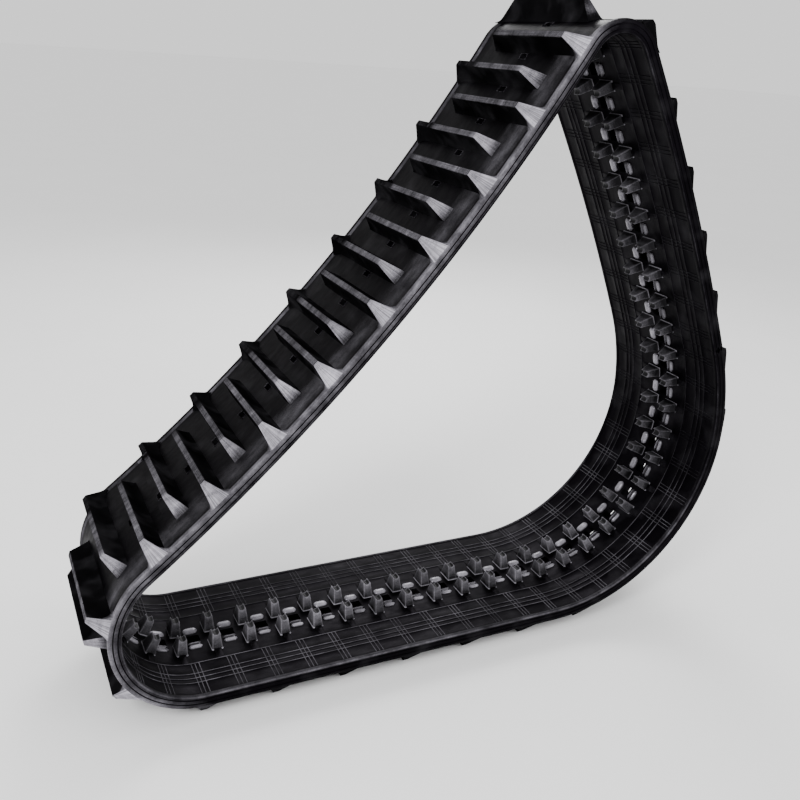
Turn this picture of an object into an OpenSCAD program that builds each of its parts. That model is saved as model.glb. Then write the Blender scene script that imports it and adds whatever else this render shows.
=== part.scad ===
// Endless rubber track for a tracked harvester, lying in a rounded triangular loop.
// The belt runs in the XZ plane and its width is along Y. Z is up.
// Each link has a local frame on the cord plane: x along the belt, y across it,
// z towards the inside of the loop, so the tread is on the -z side.

/* [Track] */
// Number of links in the endless belt
link_count = 56; // [56]
// Length of one link along the cord plane
pitch = 90; // [90]
// Width of the belt
track_w = 450; // [400:10:500]

/* [Loop shape] */
// Radius of the large front bend, at the cord plane
front_r = 480; // [470:5:490]
// Turn of the front bend, in degrees
front_turn = 96; // [95:0.5:97]
// Radius of the shoulder above the front bend
shoulder_r = 680; // [660:10:700]
// Turn of the shoulder, in degrees
shoulder_turn = 18; // [17:0.5:19]
// Slight outward bow of the front span, in degrees
span_turn = 8; // [7:0.5:9]
// Radius of the tight bend at the top
top_r = 90; // [86:1:95]
// Turn of the top bend, in degrees
top_turn = 116; // [115:0.5:117]
// Inward sag of the long rear span, in degrees
rear_sag = 18; // [17:0.5:19]
// Radius of the rear bend, near the ground
rear_r = 200; // [195:1:205]

/* [Belt layers] */
// Inner surface above the cord plane
inner_t = 13; // [12:0.5:15]
// Tread surface below the cord plane
tread_t = 12; // [11:0.5:14]
// Half thickness of the steel cord bands
cord_t = 2; // [1.5:0.5:2]
// Width of each steel cord band
cord_w = 110; // [90:5:110]
// Thickness of the fabric ply
ply_t = 1.2; // [1:0.1:1.5]
// Height of the rail along each edge of the tread face
rail_h = 4; // [2:0.5:5]
// Width of the rail along each edge
rail_w = 16; // [12:1:20]

/* [Tread lugs] */
// Height of a lug above the tread surface
lug_h = 48; // [40:1:50]
// Thickness of a lug at its crest
lug_top = 14; // [12:1:18]
// Thickness of a lug at its foot
lug_base = 40; // [36:1:42]
// Distance from the outer belt edge to the crest
crest_inset = 40; // [30:1:45]
// Distance from the other belt edge to the crest
crest_short = 120; // [110:1:130]
// Distance from the other belt edge to the foot
foot_short = 88; // [70:1:90]

/* [Guide horns] */
// Height of a guide horn above the inner surface
horn_h = 40; // [34:1:42]
// Length of a horn along the belt, at its foot
horn_len = 27; // [24:1:27]
// Distance from the centre line to the inner side of a horn
horn_in = 16; // [14:1:18]
// Distance from the centre line to the outer side of a horn
horn_out = 64; // [58:1:66]

/* [Flexing] */
// Largest turn at a flexing line, in degrees
flex_range = 10; // [4:1:10]

/* [Hidden] */

// --- Loop line: bends of known radius joined by three spans whose lengths close the loop ---
loop_len = link_count * pitch;
turns = [
    0, front_turn, shoulder_turn, span_turn, top_turn, -rear_sag,
    360 - front_turn - shoulder_turn - span_turn - top_turn + rear_sag
];
radii = [0, front_r, shoulder_r, 0, top_r, 0, rear_r];
segments = len(turns);
function rad(a) = a * PI / 180;
function turned(i) = i <= 0 ? 0 : turned(i - 1) + turns[i - 1];

// End point of a unit length of segment i, starting at the origin with heading h
function unit_chord(h, a) = abs(a) < 0.001
    ? [cos(h), sin(h)]
    : [sin(h + a) - sin(h), cos(h) - cos(h + a)] / rad(a);
chords = [for (i = [0:segments - 1]) unit_chord(turned(i), turns[i])];

// The bottom, front and rear spans (segments 0, 3 and 5) close the loop at its full length
bend_len = [for (i = [0:segments - 1]) radii[i] * rad(turns[i])];
bend_sum = [for (i = [0:segments - 1]) 1] * bend_len;
bend_shift = [for (k = [0:1]) [for (c = chords) c[k]] * bend_len];
function det3(a, b, c) = a * cross(b, c);
span_a = [chords[0][0], chords[0][1], 1];
span_b = [chords[3][0], chords[3][1], 1];
span_c = [chords[5][0], chords[5][1], 1];
closing = [-bend_shift[0], -bend_shift[1], loop_len - bend_sum];
span_det = det3(span_a, span_b, span_c);
bottom_len = det3(closing, span_b, span_c) / span_det;
front_len = det3(span_a, closing, span_c) / span_det;
rear_len = det3(span_a, span_b, closing) / span_det;
lengths = [
    bottom_len, bend_len[1], bend_len[2], front_len, bend_len[4], rear_len, bend_len[6]
];
function start_of(i) = i <= 0 ? 0 : start_of(i - 1) + lengths[i - 1];
starts = [for (i = [0:segments]) start_of(i)];
function corner(i) = i <= 0 ? [0, 0] : corner(i - 1) + lengths[i - 1] * chords[i - 1];
corners = [for (i = [0:segments - 1]) corner(i)];
headings = [for (i = [0:segments - 1]) turned(i)];

// Place and heading on the cord plane at distance s along the belt
function wrap(s) = s - loop_len * floor(s / loop_len);
function segment_at(s, i = 0) =
    (i >= segments - 1 || s < starts[i + 1]) ? i : segment_at(s, i + 1);
function place_in(i, d) = concat(
    corners[i] + d * unit_chord(headings[i], turns[i] * d / lengths[i]),
    headings[i] + turns[i] * d / lengths[i]
);
function place(s) = let (w = wrap(s), i = segment_at(w)) place_in(i, w - starts[i]);

// Offsets of the features of one link from its lug, along the belt
horn_at = -23;
pad_at = 18;
flex_at = 44;

// First and last link of each section, and the flexing lines between them
bottom_links = [-1, 10];
front_links = [11, 22];
top_links = [23, 43];
rear_links = [44, 54];
function flex_after(k) = k * pitch + flex_at;

// The frame's origin is under the middle of the loop, on the ground
crest_z = tread_t + lug_h;
crest_bevel = 1.5;
ends_x = [
    for (k = [0:link_count - 1], e = [-1, 1])
        let (p = place(k * pitch))
            p[0] + crest_z * sin(p[2]) + e * (lug_top / 2 - crest_bevel) * cos(p[2])
];
x_mid = (max(ends_x) + min(ends_x)) / 2;

half_w = track_w / 2;
cord_in = 50;
cord_out = cord_in + cord_w;
ply_half = half_w - 25;
edge_groove_d = 1.5;
edge_groove_w = 2;
tread_rail_z = -tread_t - rail_h;
// Thin ribs along and across the inner surface, and the rail at its edges
rib_h = 1.5;
rib_w = 3;
centre_rib = 98;
panel_ribs = [137, 154, 171];
cross_rib_w = 2.4;
cross_rib_step = 10;
cross_rib_from = 178;
inner_rail_w = 12;
inner_rail_h = 2;
// Steel cores
core_bottom = 4;
core_top = 10;
core_half_len = 14.5;
core_half_w = 148;
core_gap = 0.25;
post_in = 8;
post_half_len = 6;
post_h = 24;
// Guide horns
horn_lean = 12;
horn_draft = 3.5;
horn_foot = 2;
notch_r = 8;
notch_depth = 6;
wing_half_len = 9;
wing_len = 32;
wing_h = 4;
// Link pads and drive windows
pad_half_len = 21;
pad_r = 13;
pad_y = 31;
pad_seat = 8.5;
window_from = -17;
window_to = 18;
window_half_w = 13;
// Lug flank: parts of the widening that are left at two heights
lug_root = -8.5;
flank_low_part = 0.62;
flank_low_h = 0.13;
flank_mid_part = 0.3;
flank_mid_h = 0.5;
// Clearances
seat_gap = 0.2;
joint_gap = 0.15;
open_gap = 0.9;
relief = tan(flex_range / 2 + 0.6);
// Flats along the bends
flat_turn = 5;
flat_sag = 0.25;
flat_margin = 40;

rubber_black = [0.07, 0.07, 0.075];
rubber_dark = [0.14, 0.14, 0.15];
rubber_grey = [0.34, 0.34, 0.35];
rubber_dusty = [0.24, 0.24, 0.25];
core_grey = [0.42, 0.42, 0.43];
cord_grey = [0.62, 0.62, 0.6];
fabric_tan = [0.5, 0.45, 0.36];

// --- Placing ---
module at_frame(p) {
    translate([p[0] - x_mid, 0, p[1] + crest_z])
        rotate([0, -p[2], 0])
            children();
}

module at_place(s) {
    at_frame(place(s))
        children();
}

// Once per link, at an offset along the belt from the lug
module at_links(links, offset) {
    for (k = [links[0]:links[1]])
        at_place(k * pitch + offset)
            children();
}

// --- Bands: strips of the belt between two heights and two widths ---
// Every bend is drawn with flats fine enough to stay close to its true curve
function flats(i) =
    let (turn = abs(turns[i]))
        ceil(max(1, turn / flat_turn, sqrt(lengths[i] * rad(turn) / (8 * flat_sag))));
stations = [
    for (lap = [-1, 0], i = [0:segments - 1], j = [0:flats(i) - 1])
        lap * loop_len + starts[i] + lengths[i] * j / flats(i)
];

function point_at(s, z) =
    let (p = place(s))
        [p[0] - x_mid - z * sin(p[2]), p[1] + crest_z + z * cos(p[2])];

// The ends of a section slope away from its flexing lines, so that it can turn about them
function gap_before(links) = links == top_links ? open_gap : joint_gap;
function gap_after(links) = links == front_links ? open_gap : joint_gap;
function first_at(links, z) =
    flex_after(links[0] - 1) + gap_before(links) + relief * abs(z);
function last_at(links, z) = flex_after(links[1]) - gap_after(links) - relief * abs(z);

function reversed(list) = [for (i = [len(list) - 1:-1:0]) list[i]];

// A band that cuts away material runs past the ends of the section
module band(links, y_low, y_high, z_low, z_high, past = 0) {
    first = first_at(links, flat_margin);
    last = last_at(links, flat_margin);
    between = [for (s = stations) if (s > first && s < last) s];
    levels = z_low < 0 && z_high > 0 ? [z_low, 0, z_high] : [z_low, z_high];
    steps = past > 0
        ? concat([[z_low, 0]], [for (z = levels) [z, past]], [[z_high, 0]])
        : [for (z = levels) [z, 0]];
    translate([0, y_high, 0])
        rotate([90, 0, 0])
            linear_extrude(y_high - y_low)
                polygon(concat(
                    [for (s = between) point_at(s, z_low)],
                    [for (e = steps) point_at(last_at(links, e[0]) + e[1], e[0])],
                    [for (s = reversed(between)) point_at(s, z_high)],
                    [for (e = reversed(steps)) point_at(first_at(links, e[0]) - e[1], e[0])]
                ));
}

// The same band on both sides of the centre line
module band_pair(links, y_low, y_high, z_low, z_high, past = 0) {
    band(links, y_low, y_high, z_low, z_high, past);
    band(links, -y_high, -y_low, z_low, z_high, past);
}

module edge_groove(links, z) {
    band_pair(links, half_w - edge_groove_d, half_w + 1, z - edge_groove_w, z, 1);
}

// --- Shapes cut through the layers, in a link's frame ---
function mirrored(points) = concat(points, [for (p = reversed(points)) [-p[0], p[1]]]);

module box_between(low, high) {
    translate(low)
        cube(high - low);
}

// A drive window is long on the inner face and stops at the lug's foot on the tread face
module window_cut(from) {
    box_between([from, -window_half_w, -2 * tread_t], [window_to, window_half_w, 2 * inner_t]);
}

module core_pocket() {
    half_len = core_half_len + core_gap;
    side = core_half_w + core_gap;
    box_between([-half_len, -side, core_bottom], [half_len, side, core_top + core_gap]);
}

module horn_opening(side) {
    half_len = horn_len / 2 + seat_gap;
    low = side > 0 ? horn_in : -horn_out;
    box_between(
        [-half_len, low - seat_gap, core_bottom + 1],
        [half_len, low + horn_out - horn_in + seat_gap, 2 * inner_t]
    );
}

module pad_opening(side) {
    r = pad_r + seat_gap;
    end = pad_half_len - pad_r;
    translate([0, side * pad_y, pad_seat]) {
        for (x = [-end, end])
            translate([x, 0, 0])
                cylinder(r = r, h = 2 * inner_t, $fn = 96);
        box_between([-end, -r, 0], [end, r, 2 * inner_t]);
    }
}

module lug_seat(side) {
    half_len = lug_base / 2 + seat_gap;
    foot_end = half_w - foot_short + seat_gap;
    low = side > 0 ? -foot_end : -half_w - 1;
    high = side > 0 ? half_w + 1 : foot_end;
    box_between([-half_len, low, -2 * tread_t], [half_len, high, lug_root]);
}

// --- Layers ---
module wing(side) {
    foot = inner_t - 2;
    mirror([0, side > 0 ? 0 : 1, 0])
        translate([-wing_half_len, 0, 0])
            rotate([90, 0, 90])
                linear_extrude(2 * wing_half_len)
                    polygon([
                        [horn_out + 1, foot], [horn_out + wing_len, foot],
                        [horn_out + wing_len, inner_t + 1], [horn_out + 1, inner_t + wing_h]
                    ]);
}

module cross_ribs(side) {
    span = half_w - inner_rail_w - 3 - cross_rib_from;
    low = side > 0 ? cross_rib_from : -cross_rib_from - span;
    for (i = [-1:1])
        translate([i * cross_rib_step, 0, 0])
            box_between(
                [-cross_rib_w / 2, low, inner_t - 1],
                [cross_rib_w / 2, low + span, inner_t + rib_h]
            );
}

module inner_cover(links) {
    difference() {
        union() {
            band(links, -half_w, half_w, -cord_t, inner_t);
            for (y = concat([centre_rib], panel_ribs))
                band_pair(links, y - rib_w / 2, y + rib_w / 2, inner_t - 1, inner_t + rib_h);
            band_pair(links, half_w - inner_rail_w, half_w, inner_t - 1, inner_t + inner_rail_h);
            at_links(links, 0)
                for (side = [-1, 1])
                    cross_ribs(side);
            at_links(links, horn_at)
                for (side = [-1, 1])
                    wing(side);
        }
        band_pair(links, cord_in, cord_out, -2 * cord_t, cord_t, 1);
        edge_groove(links, inner_t / 2);
        at_links(links, horn_at) {
            core_pocket();
            horn_opening(1);
            horn_opening(-1);
        }
        at_links(links, pad_at) {
            window_cut(window_from);
            pad_opening(1);
            pad_opening(-1);
        }
    }
}

module tread_cover(links) {
    difference() {
        union() {
            band(links, -half_w, half_w, -tread_t, -cord_t);
            band_pair(links, half_w - rail_w, half_w, tread_rail_z, 1 - tread_t);
        }
        band(links, -ply_half, ply_half, -cord_t - ply_t, cord_t, 1);
        edge_groove(links, -tread_t / 2);
        at_links(links, pad_at)
            window_cut(lug_base / 2 - pad_at);
        for (k = [links[0]:links[1]])
            at_place(k * pitch)
                lug_seat(lug_side(k));
    }
}

module fabric_ply(links) {
    difference() {
        band(links, -ply_half, ply_half, -cord_t - ply_t, -cord_t);
        at_links(links, pad_at)
            window_cut(lug_base / 2 - pad_at);
    }
}

module steel_cords(links, side) {
    low = side > 0 ? cord_in : -cord_out;
    band(links, low, low + cord_w, -cord_t, cord_t);
}

// --- Parts set once per link ---
module core_bar() {
    box_between(
        [-core_half_len, -core_half_w, core_bottom],
        [core_half_len, core_half_w, core_top]
    );
    for (side = [-1, 1])
        translate([0, side * (horn_in + horn_out) / 2, core_top - 1])
            box_between([-post_half_len, -post_in, 0], [post_half_len, post_in, post_h + 1]);
}

module core_bars(links) {
    at_links(links, horn_at)
        core_bar();
}

// A guide horn: its outline seen along the belt, drawn in where it narrows across it
module horn_cap(side) {
    half_len = horn_len / 2;
    foot = inner_t + horn_foot;
    top = inner_t + horn_h;
    middle = (horn_in + horn_out) / 2;
    half = (horn_out - horn_in) / 2;
    translate([0, side * middle, 0])
        difference() {
            intersection() {
                translate([-half_len - 1, 0, 0])
                    rotate([90, 0, 90])
                        linear_extrude(horn_len + 2)
                            polygon([
                                [-half, core_top], [half, core_top], [half, foot],
                                [half - horn_lean, top], [horn_lean - half, top], [-half, foot]
                            ]);
                rotate([90, 0, 0])
                    linear_extrude(horn_out, center = true)
                        polygon([
                            [-half_len, core_top], [half_len, core_top], [half_len, foot],
                            [half_len - horn_draft, top], [horn_draft - half_len, top],
                            [-half_len, foot]
                        ]);
            }
            translate([0, 0, top + notch_r - notch_depth])
                rotate([90, 0, 0])
                    cylinder(r = notch_r, h = 2 * horn_out, center = true, $fn = 96);
            box_between(
                [-post_half_len - core_gap, -post_in - core_gap, 0],
                [post_half_len + core_gap, post_in + core_gap, core_top + post_h + core_gap]
            );
        }
}

module horn_caps(links) {
    at_links(links, horn_at)
        for (side = [-1, 1])
            horn_cap(side);
}

// A half capsule beside the drive window, with its axis at the level of its seat
module link_pad(side) {
    end = pad_half_len - pad_r;
    translate([0, side * pad_y, pad_seat])
        intersection() {
            union() {
                rotate([0, 90, 0])
                    cylinder(r = pad_r, h = 2 * end, center = true, $fn = 96);
                for (x = [-end, end])
                    translate([x, 0, 0])
                        sphere(pad_r, $fn = 96);
            }
            box_between([-2 * pad_half_len, -2 * pad_r, 0], [2 * pad_half_len, 2 * pad_r, 2 * pad_r]);
        }
}

module link_pads(links) {
    at_links(links, pad_at)
        for (side = [-1, 1])
            link_pad(side);
}

// Lugs alternate: one reaches the right edge of the belt, the next the left edge
function lug_side(k) = k % 2 == 0 ? -1 : 1;

module lug(side) {
    tip = -crest_z;
    foot = lug_base / 2;
    crest = lug_top / 2;
    low = crest + flank_low_part * (foot - crest);
    mid = crest + flank_mid_part * (foot - crest);
    long_end = half_w - crest_inset;
    short_end = half_w - crest_short;
    foot_end = half_w - foot_short;
    mirror([0, side > 0 ? 0 : 1, 0])
        intersection() {
            rotate([90, 0, 0])
                linear_extrude(2 * track_w, center = true)
                    polygon(mirrored([
                        [foot, lug_root], [foot, -tread_t - 1],
                        [low, -tread_t - lug_h * flank_low_h],
                        [mid, -tread_t - lug_h * flank_mid_h],
                        [crest, tip + crest_bevel], [crest - crest_bevel, tip]
                    ]));
            translate([-lug_base, 0, 0])
                rotate([90, 0, 90])
                    linear_extrude(2 * lug_base)
                        polygon([
                            [-foot_end, lug_root], [half_w, lug_root], [half_w, tread_rail_z],
                            [long_end, tip], [-short_end, tip], [-foot_end, -tread_t]
                        ]);
        }
}

module lugs(links, side) {
    for (k = [links[0]:links[1]])
        if (lug_side(k) == side)
            at_place(k * pitch)
                lug(side);
}

// --- One module per sub-part ---
module inner_cover_bottom() {
    color(rubber_black)
        inner_cover(bottom_links);
}

module tread_cover_bottom() {
    color(rubber_black)
        tread_cover(bottom_links);
}

module fabric_ply_bottom() {
    color(fabric_tan)
        fabric_ply(bottom_links);
}

module steel_cords_left_bottom() {
    color(cord_grey)
        steel_cords(bottom_links, 1);
}

module steel_cords_right_bottom() {
    color(cord_grey)
        steel_cords(bottom_links, -1);
}

module core_bars_bottom() {
    color(core_grey)
        core_bars(bottom_links);
}

module horn_caps_bottom() {
    color(rubber_grey)
        horn_caps(bottom_links);
}

module link_pads_bottom() {
    color(rubber_dark)
        link_pads(bottom_links);
}

module lugs_left_bottom() {
    color(rubber_dusty)
        lugs(bottom_links, 1);
}

module lugs_right_bottom() {
    color(rubber_dusty)
        lugs(bottom_links, -1);
}

module inner_cover_front() {
    color(rubber_black)
        inner_cover(front_links);
}

module tread_cover_front() {
    color(rubber_black)
        tread_cover(front_links);
}

module fabric_ply_front() {
    color(fabric_tan)
        fabric_ply(front_links);
}

module steel_cords_left_front() {
    color(cord_grey)
        steel_cords(front_links, 1);
}

module steel_cords_right_front() {
    color(cord_grey)
        steel_cords(front_links, -1);
}

module core_bars_front() {
    color(core_grey)
        core_bars(front_links);
}

module horn_caps_front() {
    color(rubber_grey)
        horn_caps(front_links);
}

module link_pads_front() {
    color(rubber_dark)
        link_pads(front_links);
}

module lugs_left_front() {
    color(rubber_dusty)
        lugs(front_links, 1);
}

module lugs_right_front() {
    color(rubber_dusty)
        lugs(front_links, -1);
}

module inner_cover_top() {
    color(rubber_black)
        inner_cover(top_links);
}

module tread_cover_top() {
    color(rubber_black)
        tread_cover(top_links);
}

module fabric_ply_top() {
    color(fabric_tan)
        fabric_ply(top_links);
}

module steel_cords_left_top() {
    color(cord_grey)
        steel_cords(top_links, 1);
}

module steel_cords_right_top() {
    color(cord_grey)
        steel_cords(top_links, -1);
}

module core_bars_top() {
    color(core_grey)
        core_bars(top_links);
}

module horn_caps_top() {
    color(rubber_grey)
        horn_caps(top_links);
}

module link_pads_top() {
    color(rubber_dark)
        link_pads(top_links);
}

module lugs_left_top() {
    color(rubber_dusty)
        lugs(top_links, 1);
}

module lugs_right_top() {
    color(rubber_dusty)
        lugs(top_links, -1);
}

module inner_cover_rear() {
    color(rubber_black)
        inner_cover(rear_links);
}

module tread_cover_rear() {
    color(rubber_black)
        tread_cover(rear_links);
}

module fabric_ply_rear() {
    color(fabric_tan)
        fabric_ply(rear_links);
}

module steel_cords_left_rear() {
    color(cord_grey)
        steel_cords(rear_links, 1);
}

module steel_cords_right_rear() {
    color(cord_grey)
        steel_cords(rear_links, -1);
}

module core_bars_rear() {
    color(core_grey)
        core_bars(rear_links);
}

module horn_caps_rear() {
    color(rubber_grey)
        horn_caps(rear_links);
}

module link_pads_rear() {
    color(rubber_dark)
        link_pads(rear_links);
}

module lugs_left_rear() {
    color(rubber_dusty)
        lugs(rear_links, 1);
}

module lugs_right_rear() {
    color(rubber_dusty)
        lugs(rear_links, -1);
}

inner_cover_bottom();
tread_cover_bottom();
fabric_ply_bottom();
steel_cords_left_bottom();
steel_cords_right_bottom();
core_bars_bottom();
horn_caps_bottom();
link_pads_bottom();
lugs_left_bottom();
lugs_right_bottom();
inner_cover_front();
tread_cover_front();
fabric_ply_front();
steel_cords_left_front();
steel_cords_right_front();
core_bars_front();
horn_caps_front();
link_pads_front();
lugs_left_front();
lugs_right_front();
inner_cover_top();
tread_cover_top();
fabric_ply_top();
steel_cords_left_top();
steel_cords_right_top();
core_bars_top();
horn_caps_top();
link_pads_top();
lugs_left_top();
lugs_right_top();
inner_cover_rear();
tread_cover_rear();
fabric_ply_rear();
steel_cords_left_rear();
steel_cords_right_rear();
core_bars_rear();
horn_caps_rear();
link_pads_rear();
lugs_left_rear();
lugs_right_rear();
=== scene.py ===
import math

import bpy
import numpy as np
from mathutils import Matrix, Vector


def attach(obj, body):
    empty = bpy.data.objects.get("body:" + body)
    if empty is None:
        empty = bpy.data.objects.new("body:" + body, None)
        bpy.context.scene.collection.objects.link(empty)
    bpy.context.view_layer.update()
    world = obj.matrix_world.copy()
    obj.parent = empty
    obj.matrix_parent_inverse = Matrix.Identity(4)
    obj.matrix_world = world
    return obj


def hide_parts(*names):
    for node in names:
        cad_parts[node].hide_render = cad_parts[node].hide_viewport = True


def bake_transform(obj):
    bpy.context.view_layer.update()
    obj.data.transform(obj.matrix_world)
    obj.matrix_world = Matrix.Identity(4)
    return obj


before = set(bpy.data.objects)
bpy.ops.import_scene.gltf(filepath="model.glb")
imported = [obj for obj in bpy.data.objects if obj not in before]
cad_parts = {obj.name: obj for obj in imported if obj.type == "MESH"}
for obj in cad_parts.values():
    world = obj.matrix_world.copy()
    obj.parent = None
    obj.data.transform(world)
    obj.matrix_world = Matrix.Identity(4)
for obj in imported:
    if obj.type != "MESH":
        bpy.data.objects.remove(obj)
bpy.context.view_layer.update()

# The belt is drawn flat in millimetres and then laid along the loop line. s runs along the belt
# from link 0, y across it, and z from the cord plane to the inside of the loop.
MM = 0.001

# ---------------------------------------------------------------- the loop line
PITCH = 90.0
LINKS = 56
LOOP = PITCH * LINKS
# Degrees that each of the seven stretches turns, and the radius of the four bends
TURNS = [0, 96, 18, 8, 116, -18, 140]
BEND_R = {1: 480.0, 2: 680.0, 4: 90.0, 6: 200.0}
FREE_SPANS = [0, 3, 5]
STRAIGHT = 1e-9
# Distances of the lug crests, the inner face and the tread face from the cord plane
CREST_Z = 60.0
INNER = 13.0
TREAD = -12.0
LUG_TOP = 14.0
CREST_BEVEL = 1.5

# Places of the features of one link, from its lug
HORN_AT = -23.0
PAD_AT = 18.0
FLEX_AT = 44.0

# Flexing lines, the open pivot, and the places where the belt skin is cut
S_BOTTOM_MID = 4 * PITCH + FLEX_AT
S_FLEX_FRONT = 10 * PITCH + FLEX_AT
S_FRONT_MID = 16 * PITCH + FLEX_AT
S_OPEN = 22 * PITCH + FLEX_AT
S_TOP_MID = 34 * PITCH + FLEX_AT
S_FLEX_TOP = 43 * PITCH + FLEX_AT
S_REAR_MID = 49 * PITCH + FLEX_AT
S_FLEX_REAR = 54 * PITCH + FLEX_AT
# First and last link of each section
SECTION_LINKS = {"bottom": (-1, 10), "front": (11, 22), "top": (23, 43), "rear": (44, 54)}


def chord(heading, turn):
    """End of a unit length of belt that starts with a heading and turns evenly."""
    if abs(turn) < STRAIGHT:
        return np.array([math.cos(heading), math.sin(heading)])
    a, b = heading, heading + turn
    return np.array([math.sin(b) - math.sin(a), math.cos(a) - math.cos(b)]) / turn


HEADINGS = np.radians(np.concatenate([[0], np.cumsum(TURNS)[:-1]]))
TURN = np.radians(TURNS)
CHORDS = [chord(h, t) for h, t in zip(HEADINGS, TURN)]


def closed_lengths():
    """Lengths of the seven stretches; the three free spans close the loop."""
    lengths = np.array([BEND_R.get(i, 0.0) * TURN[i] for i in range(len(TURNS))])
    rest = -sum(lengths[i] * CHORDS[i] for i in range(len(TURNS)))
    a = np.array([[CHORDS[i][k] for i in FREE_SPANS] for k in (0, 1)] + [[1.0] * 3])
    lengths[FREE_SPANS] = np.linalg.solve(a, [rest[0], rest[1], LOOP - lengths.sum()])
    return lengths


LENGTHS = closed_lengths()
STARTS = np.concatenate([[0], np.cumsum(LENGTHS)])
CORNERS = [np.zeros(2)]
for length, unit_chord in zip(LENGTHS[:-1], CHORDS):
    CORNERS.append(CORNERS[-1] + length * unit_chord)


def place(s):
    """Point and heading on the cord plane at distance s along the belt."""
    s = s % LOOP
    i = min(int(np.searchsorted(STARTS, s, side="right") - 1), len(TURNS) - 1)
    d = s - STARTS[i]
    turn = TURN[i] * d / LENGTHS[i]
    p = CORNERS[i] + d * chord(HEADINGS[i], turn)
    return p[0], p[1], HEADINGS[i] + turn


def loop_middle():
    """Middle of the loop's length, from lug crest to lug crest, as in the CAD."""
    half_flat = LUG_TOP / 2 - CREST_BEVEL
    ends = []
    for k in range(LINKS):
        x, _, h = place(k * PITCH)
        for end in (-1, 1):
            ends.append(x + CREST_Z * math.sin(h) + end * half_flat * math.cos(h))
    return (max(ends) + min(ends)) / 2


X_MID = loop_middle()


def on_belt(lay):
    """World points in metres of belt points (s, y, z) in mm."""
    lay = np.asarray(lay, float)
    keys, back = np.unique(lay[:, 0], return_inverse=True)
    p = np.array([place(s) for s in keys])[back]
    x = p[:, 0] - X_MID - lay[:, 2] * np.sin(p[:, 2])
    z = p[:, 1] + CREST_Z + lay[:, 2] * np.cos(p[:, 2])
    return np.stack([x, lay[:, 1], z], axis=1) * MM


def on_link(points, s):
    """World points in metres of points in the flat frame of the belt at s."""
    px, pz, h = place(s)
    points = np.asarray(points, float)
    x = px - X_MID + points[:, 0] * math.cos(h) - points[:, 2] * math.sin(h)
    z = pz + CREST_Z + points[:, 0] * math.sin(h) + points[:, 2] * math.cos(h)
    return np.stack([x, points[:, 1], z], axis=1) * MM


HASH_STEPS = (12.9898, 78.233, 37.719, 4.581)
HASH_SCALE = 43758.5453


def hash01(*values):
    """A steady value from 0 to 1 for a few numbers."""
    t = sum(value * step for value, step in zip(values, HASH_STEPS))
    t = math.sin(t) * HASH_SCALE
    return t - math.floor(t)


def limited(t):
    """The value held between 0 and 1."""
    return min(max(t, 0.0), 1.0)


def smooth(a, b, t):
    """A soft step from 0 at a to 1 at b."""
    t = limited((t - a) / (b - a))
    return t * t * (3 - 2 * t)


class Mesh:
    """Gathers points, faces and the attributes that the materials read.

    lay is the place on the flat belt in metres, ray the direction of the streaks on a lug's end,
    and tone the share of pale mould dust; on the link pads and window lips tone paints highlights.
    """

    def __init__(self):
        self.points, self.faces, self.lay, self.tone, self.ray = [], [], [], [], []
        self.count = 0

    def add(self, world, faces, lay, tone, ray=None):
        n = len(world)
        self.points.append(np.asarray(world, float))
        self.faces += [tuple(i + self.count for i in f) for f in faces]
        self.lay.append(np.asarray(lay, float) * MM)
        self.tone.append(np.broadcast_to(np.asarray(tone, float), (n,)))
        self.ray.append(np.zeros((n, 3)) if ray is None else np.asarray(ray, float))
        self.count += n

    def build(self, name, material, sharp=35.0):
        """The finished object; edges over an angle of so many degrees stay sharp."""
        mesh = bpy.data.meshes.new(name)
        mesh.from_pydata(np.concatenate(self.points).tolist(), [], self.faces)
        mesh.validate()
        for key, kind, field, rows in (
            ("lay", "FLOAT_VECTOR", "vector", self.lay),
            ("ray", "FLOAT_VECTOR", "vector", self.ray),
            ("tone", "FLOAT", "value", self.tone),
        ):
            attribute = mesh.attributes.new(key, kind, "POINT")
            attribute.data.foreach_set(field, np.concatenate(rows).astype(np.float32).ravel())
        mesh.shade_smooth()
        mesh.set_sharp_from_angle(angle=math.radians(sharp))
        mesh.materials.append(material)
        obj = bpy.data.objects.new(name, mesh)
        bpy.context.scene.collection.objects.link(obj)
        return obj


def ring_quad(r, i, j, size):
    """The quad between columns i and j of ring r and the next ring."""
    return (r * size + i, r * size + j, (r + 1) * size + j, (r + 1) * size + i)


def end_caps(rings, size):
    """The faces that close the first and the last ring."""
    last = (rings - 1) * size
    return [tuple(range(size - 1, -1, -1)), tuple(last + i for i in range(size))]


def ring_faces(rings, size):
    """Quads between rings of equal size, with the first and last ring capped."""
    quads = [ring_quad(r, i, (i + 1) % size, size) for r in range(rings - 1) for i in range(size)]
    return quads + end_caps(rings, size)


def flipped(faces):
    """The same faces turned inside out, for a mirrored shape."""
    return [tuple(reversed(face)) for face in faces]


# ---------------------------------------------------------------- materials
# Most of a noise texture's values lie between these two
NOISE_LOW, NOISE_HIGH = 0.3, 0.7


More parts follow.
